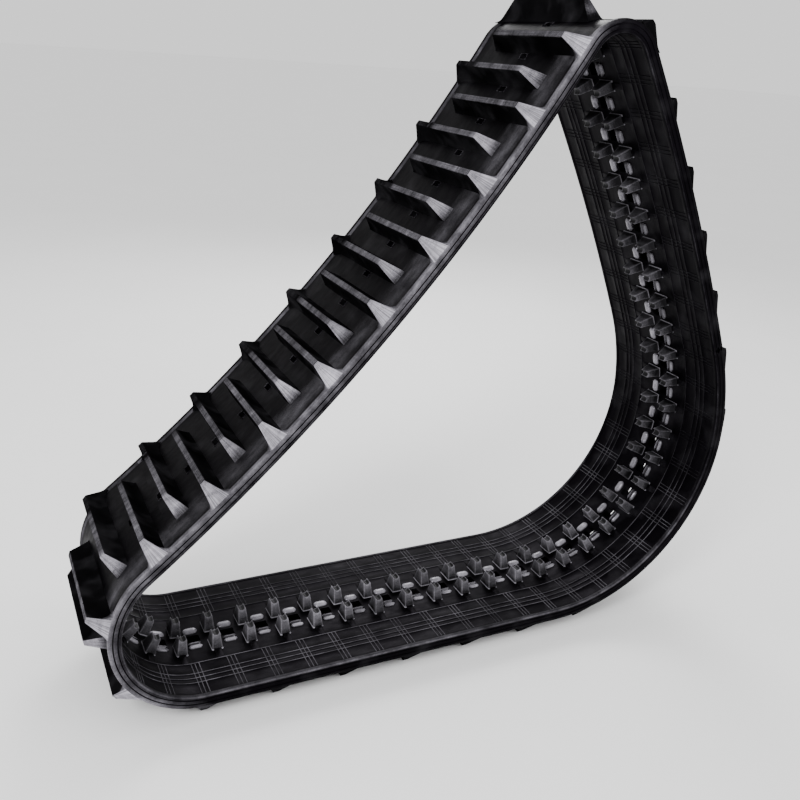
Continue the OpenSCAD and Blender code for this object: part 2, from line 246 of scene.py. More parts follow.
class Nodes:
    """A short way to write shader nodes."""

    def __init__(self, name):
        self.material = bpy.data.materials.new(name)
        self.material.use_nodes = True
        self.tree = self.material.node_tree
        self.shader = self.tree.nodes["Principled BSDF"]

    def make(self, kind, links=(), **values):
        """A node with its settings; a link's value is another node's socket or a constant."""
        node = self.tree.nodes.new(kind)
        for key, value in values.items():
            setattr(node, key, value)
        for socket, value in links:
            if isinstance(value, bpy.types.NodeSocket):
                self.tree.links.new(value, node.inputs[socket])
            else:
                node.inputs[socket].default_value = value
        return node

    def attribute(self, name, output):
        return self.make("ShaderNodeAttribute", attribute_name=name).outputs[output]

    def scaled(self, vector, scale):
        return self.make("ShaderNodeVectorMath", [(0, vector), (1, scale)],
                         operation="MULTIPLY").outputs[0]

    def noise(self, vector, scale, detail=3.0, rough=0.55, stretch=None):
        if stretch:
            vector = self.scaled(vector, stretch)
        return self.make("ShaderNodeTexNoise", [
            ("Vector", vector), ("Scale", scale), ("Detail", detail), ("Roughness", rough)
        ]).outputs[0]

    def range(self, value, a, b, c, d):
        """The value's span from a to b, stretched to c to d and clamped."""
        links = [(0, value), (1, a), (2, b), (3, c), (4, d)]
        return self.make("ShaderNodeMapRange", links).outputs[0]

    def spread(self, noise, low, high):
        """A noise stretched to the span from low to high."""
        return self.range(noise, NOISE_LOW, NOISE_HIGH, low, high)

    def math(self, operation, a, b):
        return self.make("ShaderNodeMath", [(0, a), (1, b)], operation=operation).outputs[0]

    def mix(self, factor, a, b):
        links = [(0, factor), (6, a), (7, b)]
        return self.make("ShaderNodeMix", links, data_type="RGBA").outputs[2]

    def mix_value(self, factor, a, b):
        return self.make("ShaderNodeMix", [(0, factor), (2, a), (3, b)]).outputs[0]

    def to(self, socket, value):
        """Sets one of the shader's sockets or links it."""
        if isinstance(value, bpy.types.NodeSocket):
            self.tree.links.new(value, self.shader.inputs[socket])
        else:
            self.shader.inputs[socket].default_value = value

    def bump(self, *layers):
        """Bump layers, each (height, strength, distance in metres)."""
        normal = None
        for height, strength, distance in layers:
            links = [("Height", height), ("Strength", strength), ("Distance", distance)]
            if normal is not None:
                links.append(("Normal", normal))
            normal = self.make("ShaderNodeBump", links).outputs[0]
        self.to("Normal", normal)


def grey(v, tint=(1.0, 1.0, 1.0)):
    """A grey of so much albedo with a light tint."""
    return (v * tint[0], v * tint[1], v * tint[2], 1.0)


WARM = (1.06, 0.86, 1.26)
COOL = (1.0, 0.96, 1.08)
# Tones between these two go from clean rubber to full dust
DUST_FROM, DUST_FULL = 0.16, 0.9
THIN_DUST, STREAK_DARK = 0.72, 0.3


def rubber(name, dark, light, bloom, gloss, bloom_rough, specular, painted_sheen, patchy, streak=0.0,
           tint=COOL):
    """Moulded rubber: glossy where it is clean, pale and dull where it carries mould dust.

    dark and light are the albedo of the clean rubber, painted_sheen that of its pale cloudy
    patches, which are painted sheen, and bloom of the dust. gloss and bloom_rough are the roughness
    where it is clean and dusty. patchy is how far the dust is rubbed off in places, and streak how
    dark the streaks are on a lug's end.
    """
    m = Nodes(name)
    lay = m.attribute("lay", "Vector")
    tone = m.attribute("tone", "Fac")
    # Noises by scale per metre, detail and roughness; the scratches run along the belt
    broad = m.noise(lay, 9.0, 3.0)
    cloud = m.noise(lay, 34.0, 4.0, 0.6)
    fine = m.noise(lay, 420.0, 3.0, 0.6)
    scratch = m.noise(lay, 60.0, 4.0, 0.7, (0.35, 1.0, 1.0))
    # Clean rubber with pale cloudy patches of painted sheen
    base = m.mix(m.range(broad, 0.35, 0.65, 0.0, 1.0), grey(dark, tint), grey(light, tint))
    sheen_patch = m.noise(lay, 13.0, 2.0, 0.5)
    sheen_patch = m.math("MULTIPLY", m.range(sheen_patch, 0.5, 0.72, 0.0, 1.0), m.spread(cloud, 0.4, 1.0))
    base = m.mix(sheen_patch, base, grey(painted_sheen, COOL))
    # Dust, with streaks on the ends of the lugs
    dust = m.mix(m.spread(cloud, 0.0, 1.0), grey(bloom * THIN_DUST, COOL), grey(bloom, COOL))
    if streak:
        ray = m.attribute("ray", "Vector")
        lines = m.noise(ray, 1.0, 3.0, 0.6, (8.5, 0.3, 3.0))
        lines = m.range(lines, 0.38, 0.56, 1.0 - streak, 1.0)
        dust = m.mix(lines, grey(bloom * STREAK_DARK, COOL), dust)
    # How much of the surface the dust covers
    vary = m.math("ADD", m.spread(fine, 0.78, 1.22), m.spread(scratch, -0.28, 0.28))
    cover = m.range(m.math("MULTIPLY", tone, vary), DUST_FROM, DUST_FULL, 0.0, 1.0)
    rubbed = m.noise(lay, 22.0, 3.0, 0.65)
    cover = m.math("MULTIPLY", cover, m.range(rubbed, 0.36, 0.62, 1.0 - patchy, 1.0))
    worn_area = m.noise(lay, 4.5, 2.0, 0.5)
    cover = m.math("MULTIPLY", cover, m.range(worn_area, 0.4, 0.58, 1.0 - patchy * 0.8, 1.0))
    m.to("Base Color", m.mix(cover, base, dust))
    m.to("Roughness", m.mix_value(cover, m.spread(scratch, *gloss), bloom_rough))
    m.to("Specular IOR Level", specular)
    m.to("Specular Tint", grey(1.0, tint))
    m.bump((fine, 0.10, 0.0006), (scratch, 0.16, 0.0012), (cloud, 0.12, 0.003))
    return m.material


belt_rubber = rubber("belt_rubber", 0.0003, 0.0010, 0.24, (0.3, 0.5), 0.5,
                     specular=0.02, painted_sheen=0.010, patchy=0.6, tint=WARM)
# The lugs have no specular gloss; their soft sheen is painted in by the pale cloudy patches
lug_rubber = rubber("lug_rubber", 0.0015, 0.0045, 0.50, (0.3, 0.5), 0.6,
                    specular=0.0, painted_sheen=0.018, patchy=0.35, streak=0.85)
horn_rubber = rubber("horn_rubber", 0.0012, 0.004, 0.36, (0.3, 0.5), 0.45,
                     specular=0.08, painted_sheen=0.018, patchy=0.4)
# On the pads the pale dust colour serves for their painted highlights
pad_rubber = rubber("pad_rubber", 0.003, 0.010, 0.48, (0.10, 0.26), 0.24,
                    specular=0.45, painted_sheen=0.02, patchy=0.5)


def hidden_finish(name, low, high, metallic, rough, scale, stretch):
    """Cores, cords and fabric inside the rubber, between two colours."""
    m = Nodes(name)
    where = m.make("ShaderNodeTexCoord").outputs["Object"]
    coarse = m.noise(where, scale, 4.0, 0.6, stretch)
    fine = m.noise(where, scale * 9, 3.0, 0.6)
    m.to("Base Color", m.mix(m.spread(coarse, 0.0, 1.0), low, high))
    m.to("Roughness", m.spread(fine, rough - 0.1, rough + 0.12))
    m.to("Metallic", metallic)
    m.bump((coarse, 0.3, 0.001), (fine, 0.2, 0.0004))
    return m.material


FABRIC_DARK, FABRIC_LIGHT = (0.20, 0.16, 0.10, 1), (0.34, 0.29, 0.2, 1)
EVEN, ALONG_CORDS = (1, 1, 1), (1, 12, 1)
HIDDEN_FINISHES = {
    "core_bars": hidden_finish("core_iron", grey(0.10), grey(0.22), 0.8, 0.6, 30.0, EVEN),
    "steel_cords": hidden_finish("cord_steel", grey(0.35), grey(0.55), 1.0, 0.4, 60.0, ALONG_CORDS),
    "fabric_ply": hidden_finish("ply_fabric", FABRIC_DARK, FABRIC_LIGHT, 0.0, 0.85, 90.0, EVEN),
}

for node_name, node_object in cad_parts.items():
    for kind, finish in HIDDEN_FINISHES.items():
        if node_name.startswith(kind):
            node_object.data.materials.clear()
            node_object.data.materials.append(finish)

# ---------------------------------------------------------------- belt skin
RIDGES = (98.0, 137.0, 154.0, 171.0)
RIDGE_H = 1.5
WINDOW_Y = 12.7


def half_section():
    """Half of the belt's section: (y, z, tone), from the middle of the inner face to the tread."""
    points = [(WINDOW_Y, INNER, 0.0), (40, INNER, 0.0), (66, INNER, 0.0), (82, INNER, 0.0)]
    for y in RIDGES:
        points += [
            (y - 2.4, INNER, 0.0), (y - 1.3, INNER + 0.5, 0.15), (y - 0.6, INNER + RIDGE_H, 0.55),
            (y + 0.6, INNER + RIDGE_H, 0.55), (y + 1.3, INNER + 0.5, 0.15), (y + 2.4, INNER, 0.0),
        ]
    # The edge rail with its two grooves, then the tread face back to the middle
    points += [
        (192, INNER, 0.0), (207, INNER, 0.0), (211.5, INNER + 0.2, 0.05),
        (213.5, INNER + 1.3, 0.15), (215, 15.0, 0.3), (221, 15.0, 0.3), (223.4, 14.2, 0.5),
        (224.8, 12.6, 0.55), (225, 11.0, 0.3), (225, 7.2, 0.3), (223.7, 6.6, 0.0),
        (223.7, 4.6, 0.0), (225, 4.0, 0.4), (225, -3.6, 0.5), (223.6, -4.3, 0.0),
        (223.6, -6.2, 0.0), (225, -6.9, 0.5), (225, -14.3, 0.75), (224.2, -15.5, 0.9),
        (222.6, -16.0, 0.9), (219.2, -16.0, 0.8), (218.6, -15.4, 0.2), (218.0, -16.0, 0.8),
        (213.0, -16.0, 0.7), (212.0, -15.6, 0.45), (206.0, -12.9, 0.42), (204.6, -12.4, 0.3),
        (202.5, -12.1, 0.1), (198, TREAD, 0.2), (170, TREAD, 0.34), (130, TREAD, 0.2),
        (90, TREAD, 0.04), (50, TREAD, 0.0), (26, TREAD, 0.0), (WINDOW_Y, TREAD, 0.0),
    ]
    return points


HALF = half_section()
# The far edge has little dust on its rail and on the tread face; the near edge has all of it
RAIL_Z, RAIL_Y = -13.5, 212.5
FAR_RAIL_DUST, FAR_TREAD_DUST = 0.08, 0.3


def far_tone(y, z, tone):
    """The tone of a point of the half section, on the far half of the belt."""
    if z < RAIL_Z and y > RAIL_Y:
        return tone * FAR_RAIL_DUST
    return tone * FAR_TREAD_DUST if z == TREAD else tone


SECTION = [(y, z, far_tone(y, z, t)) for y, z, t in HALF]
SECTION += [(-y, z, t) for y, z, t in reversed(HALF)]
# Points above this height belong to the inner face
INNER_SIDE = 10.0
# Pale dust lies on the rear span; the rest of the outer face is dark
DUSTY_FROM, DUSTY_TO = 2900.0, 5090.0
FADE_IN, FADE_OUT = 200.0, 150.0
CLEAN_SHARE = 0.06
# The lines of the inner face fade by this much on the front span and come back on the rear one
LINES_LOST = 0.6
LINES_FADE = (S_FRONT_MID - 200, S_FRONT_MID + 260)


def dust_at(s):
    """Share of the outer dust at distance s along the belt."""
    s = (s - DUSTY_TO) % LOOP + DUSTY_TO - LOOP
    fade_in = smooth(DUSTY_FROM, DUSTY_FROM + FADE_IN, s)
    share = fade_in * (1 - smooth(DUSTY_TO - FADE_OUT, DUSTY_TO, s))
    return CLEAN_SHARE + (1 - CLEAN_SHARE) * share


def lines_at(s):
    """Strength of the pale lines of the inner face at distance s along the belt."""
    s = s % LOOP
    return 1.0 - LINES_LOST * smooth(*LINES_FADE, s) * (1 - smooth(S_TOP_MID, LOOP, s))


# Rows of the skin in each link, and the stretches that its drive window takes of the inner face
# and of the tread face; between the two lies a ledge
STEPS = (-40, -32, -24, -16, -8, -3, 1.3, 8, 14, 20.4, 25, 30, 35.7, 40, 44, 48)
WINDOW = (1.3, 35.7)
WINDOW_TREAD = (20.4, 35.7)
LEDGE_Z = -1.2
# Rows keep this gap to the ends of a piece, and a row within the slack is on a window's edge
ROW_GAP = 1.5
SLACK = 0.05
# Degrees of the rows that round off an end of the skin
BULGE_ANGLES = (28, 52, 72, 84)


def stations(s0, s1):
    """Rows along the belt from s0 to s1, with rows on the edges of every drive window."""
    links = range(int(s0 // PITCH) - 1, int(s1 // PITCH) + 2)
    rows = {k * PITCH + step for k in links for step in STEPS}
    return sorted({s0, s1} | {s for s in rows if s0 + ROW_GAP < s < s1 - ROW_GAP})


def within(s, window):
    """Whether the stretch that begins at s lies in a window."""
    local = (s + FLEX_AT) % PITCH - FLEX_AT
    return window[0] - SLACK <= local < window[1] - SLACK


def skin(mesh, s0, s1, round_start=False, round_end=False):
    """A stretch of the belt's rubber, with real drive windows through it."""
    rows = [(s, 1.0) for s in stations(s0, s1)]
    bulge = [(math.sin(a), math.cos(a)) for a in np.radians(BULGE_ANGLES)]
    if round_end:
        rows += [(s1 + INNER * sine, cosine) for sine, cosine in bulge]
    if round_start:
        rows = [(s0 - INNER * sine, cosine) for sine, cosine in reversed(bulge)] + rows
    n = len(SECTION)
    half = len(HALF)
    lay, tone = [], []
    for s, squeeze in rows:
        share, lines = dust_at(s), lines_at(s)
        for y, z, t in SECTION:
            lay.append((s, y, z * squeeze))
            tone.append(t * share if z < INNER_SIDE else t * lines)
    # The middle columns of both faces are left open where a window is
    open_columns = {n - 1: WINDOW, half - 1: WINDOW_TREAD}
    faces = []
    for r in range(len(rows) - 1):
        solid = rows[r][1] == 1.0 and rows[r + 1][1] == 1.0
        for i in range(n):
            if not (solid and i in open_columns and within(rows[r][0], open_columns[i])):
                faces.append(ring_quad(r, i, (i + 1) % n, n))
    # Walls of each window, between the rows that bound it
    starts = [r for r in range(len(rows) - 1)
              if within(rows[r][0], WINDOW) and not (r and within(rows[r - 1][0], WINDOW))]
    for r0 in starts:
        r1 = r0
        while within(rows[r1][0], WINDOW):
            r1 += 1
        t0 = r0
        while not within(rows[t0][0], WINDOW_TREAD):
            t0 += 1
        ledge = {}
        for r in range(r0, t0 + 1):
            for y in (WINDOW_Y, -WINDOW_Y):
                ledge[r, y > 0] = len(lay)
                lay.append((rows[r][0], y, LEDGE_Z))
                tone.append(0.0)
        for inner_col, tread_col, near in ((0, half - 1, True), (n - 1, half, False)):
            wall = []
            for r in range(r0, t0):
                wall.append((r * n + inner_col, (r + 1) * n + inner_col,
                             ledge[r + 1, near], ledge[r, near]))
            for r in range(t0, r1):
                corner = (ledge[t0, near],) if r == t0 else ()
                wall.append((r * n + inner_col, (r + 1) * n + inner_col,
                             (r + 1) * n + tread_col, r * n + tread_col) + corner)
            faces += wall if near else flipped(wall)
        for r in range(r0, t0):
            faces.append((ledge[r, True], ledge[r + 1, True], ledge[r + 1, False], ledge[r, False]))
        faces.append((r0 * n, ledge[r0, True], ledge[r0, False], r0 * n + n - 1))
        faces.append((ledge[t0, True], t0 * n + half - 1, t0 * n + half, ledge[t0, False]))
        faces.append((r1 * n, r1 * n + n - 1, r1 * n + half, r1 * n + half - 1))
    faces += end_caps(len(rows), n)
    lay = np.array(lay)
    mesh.add(on_belt(lay), flipped(faces), lay, tone)


# Cross ribs of the inner face: three on each link
CROSS_STEP = 10.0
CROSS_FROM, CROSS_TO = 98.0, 212.0
CROSS_HALF = 1.2
CROSS_LOW, CROSS_TOP = INNER - 0.6, INNER + RIDGE_H - 0.15
CROSS_SHOULDER = 0.45
CROSS_END, CROSS_END_RISE = 1.4, 0.35
CROSS_TONE = 0.46


def cross_rib(mesh, s, side):
    """A thin raised rib across the inner face."""
    low, top, half = CROSS_LOW, CROSS_TOP, CROSS_HALF
    shoulder = top - CROSS_SHOULDER
    outline = [(-half, low), (-half * 0.8, shoulder), (-half * 0.35, top),
               (half * 0.35, top), (half * 0.8, shoulder), (half, low)]
    rows = [(CROSS_FROM, CROSS_END_RISE), (CROSS_FROM + CROSS_END, 1.0),
            ((CROSS_FROM + CROSS_TO) / 2, 1.0),
            (CROSS_TO - CROSS_END, 1.0), (CROSS_TO, CROSS_END_RISE)]
    tone = CROSS_TONE * lines_at(s)
    lay, tones = [], []
    for y, rise in rows:
        for x, z in outline:
            lay.append((s + x, side * y, low + (z - low) * rise))
            tones.append(tone if z > low else 0.0)
    faces = ring_faces(len(rows), len(outline))
    mesh.add(on_belt(lay), faces if side > 0 else flipped(faces), lay, tones)


# Rows of a ramp from a horn outward: (y, height, half width)
WING_ROWS = [(62, 4.4, 10.0), (70, 3.4, 9.6), (80, 2.2, 9.0), (90, 1.0, 8.2), (97, 0.2, 7.4)]
WING_SUNK = -2.0
WING_TONE = 0.16


def wing(mesh, s, side):
    """A low ramp that runs outward from a horn."""
    lay, tones = [], []
    for y, rise, half in WING_ROWS:
        outline = ((-half, WING_SUNK), (-half, rise * 0.55), (-half * 0.72, rise),
                   (half * 0.72, rise), (half, rise * 0.55), (half, WING_SUNK))
        for x, z in outline:
            lay.append((s + x, side * y, INNER + z))
            tones.append(WING_TONE if z > 0 else 0.0)
    faces = ring_faces(len(WING_ROWS), len(outline))
    mesh.add(on_belt(lay), faces if side > 0 else flipped(faces), lay, tones)


# The lip round a window: its ends along the belt, its half width, and points on each side
LIP_FROM, LIP_TO, LIP_Y = 22.0, 37.0, 14.5
LIP_ALONG, LIP_ACROSS = 10, 14
# Its foot inside and outside the path, its least height and what may be added, and its lean
LIP_IN, LIP_OUT, LIP_FOOT = 1.1, 1.3, 0.6
LIP_LOW, LIP_MORE = 0.4, 2.8
LIP_LEAN = 0.96
# Pale tone of the lip's crest: a painted highlight, laid on all round the loop
LIP_CREST_HIGHLIGHT = 0.65


def lip_path():
    """Points round a window in the flat frame of its link."""
    length, width = LIP_TO - LIP_FROM, 2 * LIP_Y
    path = [(LIP_FROM + length * a / LIP_ALONG, -LIP_Y) for a in range(LIP_ALONG)]
    path += [(LIP_TO, -LIP_Y + width * a / LIP_ACROSS) for a in range(LIP_ACROSS)]
    path += [(LIP_TO - length * a / LIP_ALONG, LIP_Y) for a in range(LIP_ALONG)]
    path += [(LIP_FROM, LIP_Y - width * a / LIP_ACROSS) for a in range(LIP_ACROSS)]
    return np.array(path)


def window_lip(mesh, s, k):
    """The ragged lip of rubber that the mould leaves round a drive window, with a painted highlight
    on its crest.
    """
    path = lip_path()
    middle = np.array([(LIP_FROM + LIP_TO) / 2, 0.0])
    lay, tones = [], []
    for i, point in enumerate(path):
        outward = (point - middle) / np.linalg.norm(point - middle)
        height = LIP_LOW + LIP_MORE * hash01(k, i, 1) ** 2
        lean = (hash01(k, i, 2) - 0.5) * LIP_LEAN
        for across, z, t in (
            (-LIP_IN, LIP_FOOT, 0.0), (lean, -height, LIP_CREST_HIGHLIGHT), (LIP_OUT, LIP_FOOT, 0.0),
        ):
            x, y = point + outward * across
            lay.append((s + x, y, TREAD + z))
            tones.append(t * (0.3 + 0.7 * hash01(k, i, 3)))
    rows, around = len(path), 3
    faces = []
    for i in range(rows):
        j = (i + 1) % rows
        for a in range(around):
            b = (a + 1) % around
            faces.append((i * around + a, j * around + a, j * around + b, i * around + b))
    mesh.add(on_belt(lay), faces, lay, tones)


# How far from the ends of a piece its ribs and ramps stay, and where its window lips may be
RIB_MARGIN, WING_MARGIN = 3.0, 12.0
LIP_START_MARGIN, LIP_END_MARGIN = 4.0, 8.0


def skin_piece(name, s0, s1, round_start=False, round_end=False):
    """A piece of the belt with its ribs, ramps and window lips."""
    mesh = Mesh()
    skin(mesh, s0, s1, round_start, round_end)
    for k in range(-2, LINKS + 2):
        s = k * PITCH
        for at in (s - CROSS_STEP, s, s + CROSS_STEP):
            if s0 + RIB_MARGIN < at < s1 - RIB_MARGIN:
                for side in (-1, 1):
                    cross_rib(mesh, at, side)
        if s0 + WING_MARGIN < s + HORN_AT < s1 - WING_MARGIN:
            for side in (-1, 1):
                wing(mesh, s + HORN_AT, side)
        if s0 + LIP_START_MARGIN < s and s + FLEX_AT < s1 + LIP_END_MARGIN:
            window_lip(mesh, s, k)
    return mesh.build(name, belt_rubber)


# The straight part of the skin ends this far from the open pivot; its round end reaches past it
OPEN_GAP = 3.5
skins = {
    "belt_skin_front": skin_piece("belt_skin_front", S_BOTTOM_MID, S_FRONT_MID),
    "belt_skin_front_end": skin_piece("belt_skin_front_end", S_FRONT_MID, S_OPEN - OPEN_GAP,
                                      round_end=True),
    "belt_skin_rear": skin_piece("belt_skin_rear", S_REAR_MID - LOOP, S_BOTTOM_MID),
    "belt_skin_top": skin_piece("belt_skin_top", S_TOP_MID, S_REAR_MID),
    "belt_skin_top_end": skin_piece("belt_skin_top_end", S_OPEN + OPEN_GAP, S_TOP_MID,
                                    round_start=True),
}


for piece, s, before, after in (
    ("belt_skin_front", S_FLEX_FRONT, "bottom_section", "front_section"),
    ("belt_skin_rear", S_FLEX_REAR, "rear_section", "bottom_section"),
    ("belt_skin_top", S_FLEX_TOP, "top_section", "rear_section"),
):
    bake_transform(skins[piece])
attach(skins["belt_skin_front_end"], "front_section")
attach(skins["belt_skin_top_end"], "top_section")
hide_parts("inner_cover_front", "tread_cover_front")
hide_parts("inner_cover_bottom", "tread_cover_bottom")
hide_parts("inner_cover_rear", "tread_cover_rear")
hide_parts("inner_cover_top", "tread_cover_top")

# ---------------------------------------------------------------- tread lugs
# A lug runs from its short foot up to the crest, along it, and down a fan to the belt's edge
FOOT_SHORT, CREST_SHORT, CREST_LONG, FAN_END = -137.0, -105.0, 185.0, 223.6
SHORT_YS = (FOOT_SHORT - 1.5, FOOT_SHORT + 2, -130, -122, -114, CREST_SHORT - 2)
CREST_YS = (-80, -40, 0, 40, 80, 112)
FAN_YS = (187, 190, 193, 196, 198.5, 200.5, 202, 203.3, 204.4, 205.2, 206, 212, 218, FAN_END)
SHORT_FOOT_Z, FAN_END_Z = -12.3, -16.35
# Half widths of the crest, of a lug's foot, and of the low tip of its short end
CREST_HALF, LUG_FOOT, SHORT_HALF = 7.0, 20.0, 18.5
FAN_SPREAD, FAN_FOOT_SPREAD = 17.0, 2.5
# The fan meets the edge rail in a fillet
RAIL_INNER = 206.0
FILLET = 16.0
# Teeth near the long end of the crest: a flat part and a dip of this depth
TEETH = 14
TOOTH = 4.0
TOOTH_DIP = 0.9
TOOTH_PARTS = ((0.0, 0.0), (0.45, 0.0), (0.5, TOOTH_DIP), (0.95, TOOTH_DIP))
EDGE_ROUND = 0.2
# Dust tones of the crest, of its ends and teeth, of the dips between them, and of its corners
CREST_TONE, TOOTH_TONE, DIP_TONE = 0.3, 0.42, 0.14
SHORT_CORNER_TONE, LONG_CORNER_TONE = 0.6, 0.65
FAN_TONE = 0.75
# Heights of the points on a flank, as shares of its height, from the crest to the foot
TOP_EDGE, BELOW_EDGE = 1.0, 0.93
FLANK = (TOP_EDGE, BELOW_EDGE, 0.8, 0.62, 0.42, 0.25, 0.13, 0.05, 0.0)
# A flank flares out to its foot as a sum of powers: (share, power)
FLARE = ((0.55, 1.2), (0.45, 6))
FLANK_OUT, BELOW_OUT = 0.2, 0.35
TOP_EDGE_DROP, TOP_EDGE_DIM = 0.9, 0.8
BELOW_DROP, BELOW_LOWEST, BELOW_TONE = 2.6, -12.2, 0.02
FLANK_TONE, FAN_FLANK_TONE = 0.03, 0.6
# The flank's foot goes into the belt, out and down to here
SUNK_OUT, SUNK_Z = 0.9, -10.5
# Columns of points across the top, with shallow grooves on its sloping ends
COLUMNS = np.linspace(-1, 1, 9)
TOP_INSET, COLUMN_GROOVE = 0.8, 0.28
# How the streaks change along a lug and from one lug to the next
RAY_ALONG, RAY_STEP = 0.02, 1.7
LUG_SHARP = 28.0
LUG_WOBBLE = 0.10
# Less dust lies on the ends of the lugs at the far edge
FAR_DUST_Y = 100.0
FAR_DUST = 0.42
# Dust on the crests of the bottom and front lugs, which the photo's camera doesn't see
CREST_DUST = 1.1
CREST_FADE = (1100.0, 2250.0)
CREST_DUST_Z = -59.0
# The last lug before the open pivot keeps its fillet clear of the next section
OPEN_REACH = 29.0


def lug_rows():
    """Rows across the belt: y, crest z, half widths of top and foot, tone, whether it slopes."""
    rows = []
    for y in SHORT_YS:
        t = limited((y - FOOT_SHORT) / (CREST_SHORT - FOOT_SHORT))
        z = SHORT_FOOT_Z - (CREST_Z + SHORT_FOOT_Z) * t
        top = SHORT_HALF - (SHORT_HALF - CREST_HALF) * t
        tone = (0.3 + 0.7 * smooth(0.0, 0.5, t)) * (0.9 - 0.25 * t)
        rows.append((y, z, top, LUG_FOOT - 1.0 + t, tone, True))

    def crest_row(y, drop, tone):
        rows.append((y, -CREST_Z + drop, CREST_HALF, LUG_FOOT, tone, False))

    crest_row(CREST_SHORT, EDGE_ROUND, SHORT_CORNER_TONE)
    crest_row(CREST_SHORT + 2.5, 0.0, TOOTH_TONE)
    for y in CREST_YS:
        crest_row(y, 0.0, CREST_TONE)
    first = CREST_LONG - 4 - TEETH * TOOTH
    for i in range(TEETH):
        for part, drop in TOOTH_PARTS:
            crest_row(first + (i + part) * TOOTH, drop, DIP_TONE if drop else TOOTH_TONE)
    crest_row(CREST_LONG - 3, 0.0, TOOTH_TONE)
    crest_row(CREST_LONG, EDGE_ROUND, LONG_CORNER_TONE)
    for y in FAN_YS:
        t = (y - CREST_LONG) / (FAN_END - CREST_LONG)
        z = -CREST_Z + (CREST_Z + FAN_END_Z) * t
        top = CREST_HALF + FAN_SPREAD * t
        reach = FILLET - min(max(RAIL_INNER - y, 0.0), FILLET)
        fillet = FILLET - math.sqrt(FILLET ** 2 - reach ** 2)
        foot = max(LUG_FOOT, top) + FAN_FOOT_SPREAD * t + fillet
        rows.append((y, z, top, foot, FAN_TONE + (1 - FAN_TONE) * t, True))
    return rows


def lug_flank(y, z, top, foot, tone):
    """One side of a lug's row, from the crest down: (half width, z, tone)."""
    height = TREAD - z
    fan = max(y - CREST_LONG, 0.0) / (FAN_END - CREST_LONG)
    pale = FLANK_TONE + FAN_FLANK_TONE * fan ** 2
    flank = []
    for t in FLANK:
        half = top + (foot - top) * sum(share * (1 - t) ** power for share, power in FLARE)
        if t == TOP_EDGE:
            flank.append((top, z + TOP_EDGE_DROP, tone * TOP_EDGE_DIM))
        elif t == BELOW_EDGE:
            below = min(z + BELOW_DROP, BELOW_LOWEST)
            flank.append((half + BELOW_OUT, below, pale + BELOW_TONE))
        else:
            flank.append((half + FLANK_OUT, TREAD - height * t, pale))
    return flank + [(foot + SUNK_OUT, SUNK_Z, 0.0)]


def lug_template():
    """Points, tones, streak directions and faces of a lug on link 0."""
    points, tones, rays = [], [], []
    rows = lug_rows()
    for y, z, top, foot, tone, sloped in rows:
        side = lug_flank(y, z, top, max(foot, top + 0.6), tone)
        middle = []
        for i, c in enumerate(COLUMNS):
            groove = COLUMN_GROOVE if sloped and i % 2 else 0.0
            middle.append(((top - TOP_INSET) * c, z + groove, tone))
        ring = [(-half, deep, t) for half, deep, t in reversed(side)] + middle + side
        for x, deep, t in ring:
            points.append((x, y, deep))
            tones.append(t)
            rays.append((x / top, y * RAY_ALONG, 0.0))
    faces = ring_faces(len(rows), len(points) // len(rows))
    return np.array(points), np.array(tones), np.array(rays), faces


LUG_POINTS, LUG_TONES, LUG_RAYS, LUG_FACES = lug_template()


def lug(mesh, k):
    """One tread lug; every second one is the mirror image."""
    side = -1 if k % 2 == 0 else 1
    points = LUG_POINTS * [1, side, 1]
    if k == SECTION_LINKS["front"][1]:
        points[:, 0] = np.minimum(points[:, 0], OPEN_REACH)
    faces = LUG_FACES if side < 0 else flipped(LUG_FACES)
    wobble = 1.0 + LUG_WOBBLE * (hash01(k, 5) - 0.5)
    lay = points + [k * PITCH, 0, 0]
    rays = LUG_RAYS + [0, 0, k * RAY_STEP]
    tones = LUG_TONES * wobble
    tones[points[:, 1] > FAR_DUST_Y] *= FAR_DUST
    share = dust_at(k * PITCH)
    crest_share = max(share, CREST_DUST * (1 - smooth(*CREST_FADE, k * PITCH)))
    tones *= np.where(points[:, 2] < CREST_DUST_Z, crest_share, share)
    mesh.add(on_link(points, k * PITCH), faces, lay, tones, rays)


for section, (first_link, last_link) in SECTION_LINKS.items():
    for word, parity in (("left", 1), ("right", 0)):
        mesh = Mesh()
        for k in range(first_link, last_link + 1):
            if k % 2 == parity:
                lug(mesh, k)
        piece = mesh.build(f"lug_set_{word}_{section}", lug_rubber, LUG_SHARP)
        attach(piece, f"{section}_section")
        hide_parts(f"lugs_{word}_{section}")

# ---------------------------------------------------------------- guide horns
HORN_HALF_LEN, HORN_IN, HORN_OUT = 13.5, 16.0, 64.0
HORN_FOOT_Z, HORN_TOP = 15.0, 53.0
HORN_LEAN, HORN_DRAFT = 12.0, 3.5
# Rings of a horn: z, how much wider it is there, corner radius, tone
HORN_LEVELS = [
    (10.5, 1.2, 2.5, 0.0), (14.2, 1.2, 2.5, 0.8), (15.2, 0.6, 2.5, 0.7), (16.2, 0.0, 2.5, 0.16),
    (24, 0.0, 2.3, 0.24), (34, 0.0, 2.1, 0.32), (44, 0.0, 2.0, 0.38), (50.5, 0.0, 1.9, 0.44),
    (52.4, -0.5, 1.8, 0.62), (53.0, -1.4, 1.6, 0.5),
]
TOP_RINGS = (0.8, 0.55, 0.3)
TOP_TONE = 0.16
# The saddle across the top
NOTCH_R, NOTCH_DEPTH, NOTCH_FROM = 8.0, 6.0, 40.0
CORNER_STEPS = 4
CORNER_TONE = 0.2
# Where the points lie along the sides, as shares of the straight part
ALONG_X = (0.75, 0.5, 0.25, 0.0, -0.25, -0.5, -0.75)
ALONG_Y = (0.5, 0.0, -0.5)
HORN_PAD_SHARP = 40.0


